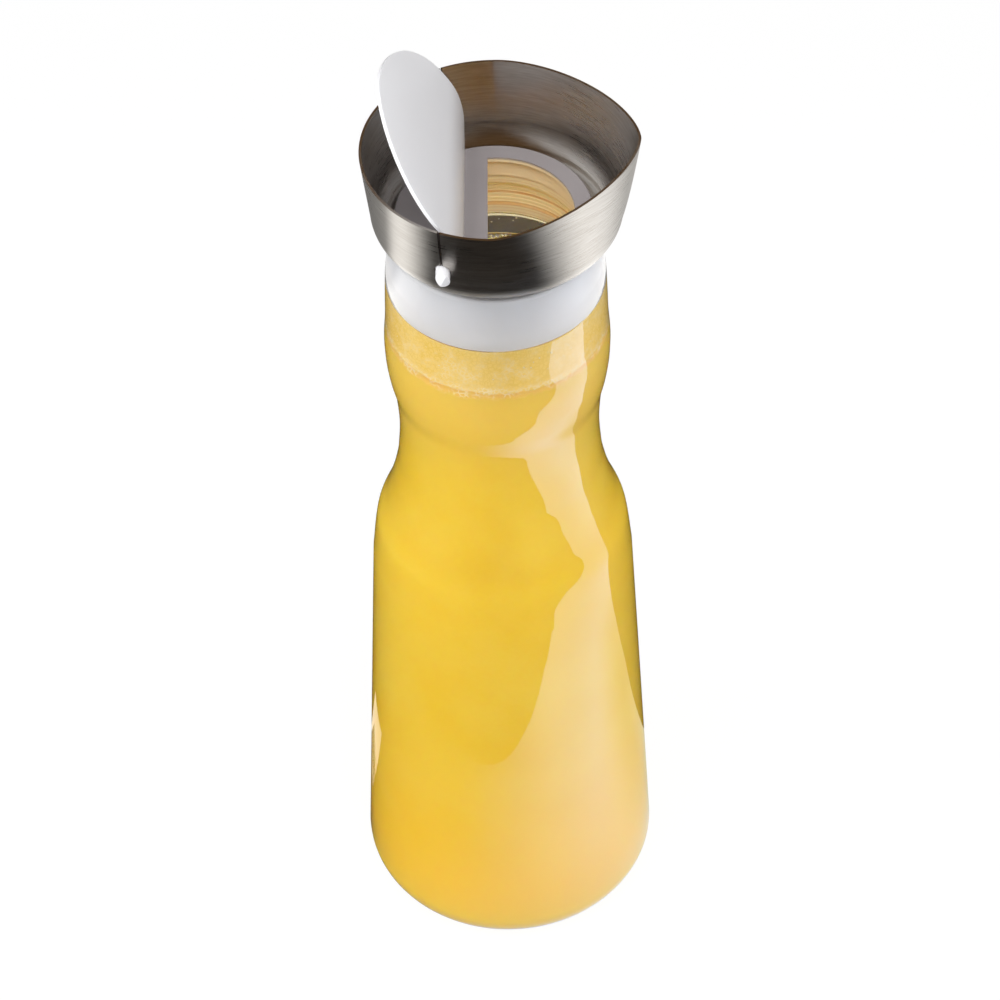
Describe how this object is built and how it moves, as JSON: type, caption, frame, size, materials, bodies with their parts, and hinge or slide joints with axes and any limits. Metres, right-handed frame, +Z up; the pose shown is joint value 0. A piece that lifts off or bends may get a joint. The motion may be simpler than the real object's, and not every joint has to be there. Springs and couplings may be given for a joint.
{
  "type": "juice carafe",
  "caption": "Clear waisted carafe with a push-in neck plug, a flared steel pouring collar and a rocking flap lid, shown open.",
  "frame": {"origin": "centre of the foot, on the surface that the carafe stands on", "axes": "+Z up the bottle's axis, +X towards the pouring lip, the flap's hinge along Y"},
  "size_m": [0.1, 0.1, 0.3588],
  "materials": {
    "clear_plastic": "clear, polished",
    "white_plastic": "white, satin",
    "clear_silicone": "translucent, matte",
    "gasket_silicone": "pale grey, matte",
    "brushed_steel": "brushed round the axis",
    "plate_plastic": "pale grey, satin",
    "lid_plastic": "white, satin"
  },
  "bodies": {
    "bottle": {"bottle": "clear_plastic"},
    "seal": {"lip_seal": "clear_silicone"},
    "head": {"neck_plug": "white_plastic", "collar_gasket": "gasket_silicone", "pour_collar": "brushed_steel", "pour_plate": "plate_plastic"},
    "flap": {"flap_lid": "lid_plastic"}
  },
  "joints": [
    {"name": "head_lift", "type": "slide", "parent": "bottle", "child": "seal", "axis": [0, 0, 1], "range_m": [0, 0.04]},
    {"name": "head_turn", "type": "hinge", "parent": "seal", "child": "head", "pos_m": [0, 0, 0.289], "axis": [0, 0, 1], "continuous": true},
    {"name": "flap_hinge", "type": "hinge", "parent": "head", "child": "flap", "pos_m": [-0.0152, 0, 0.3149], "axis": [0, 1, 0], "range_deg": [0, 123.3]}
  ]
}
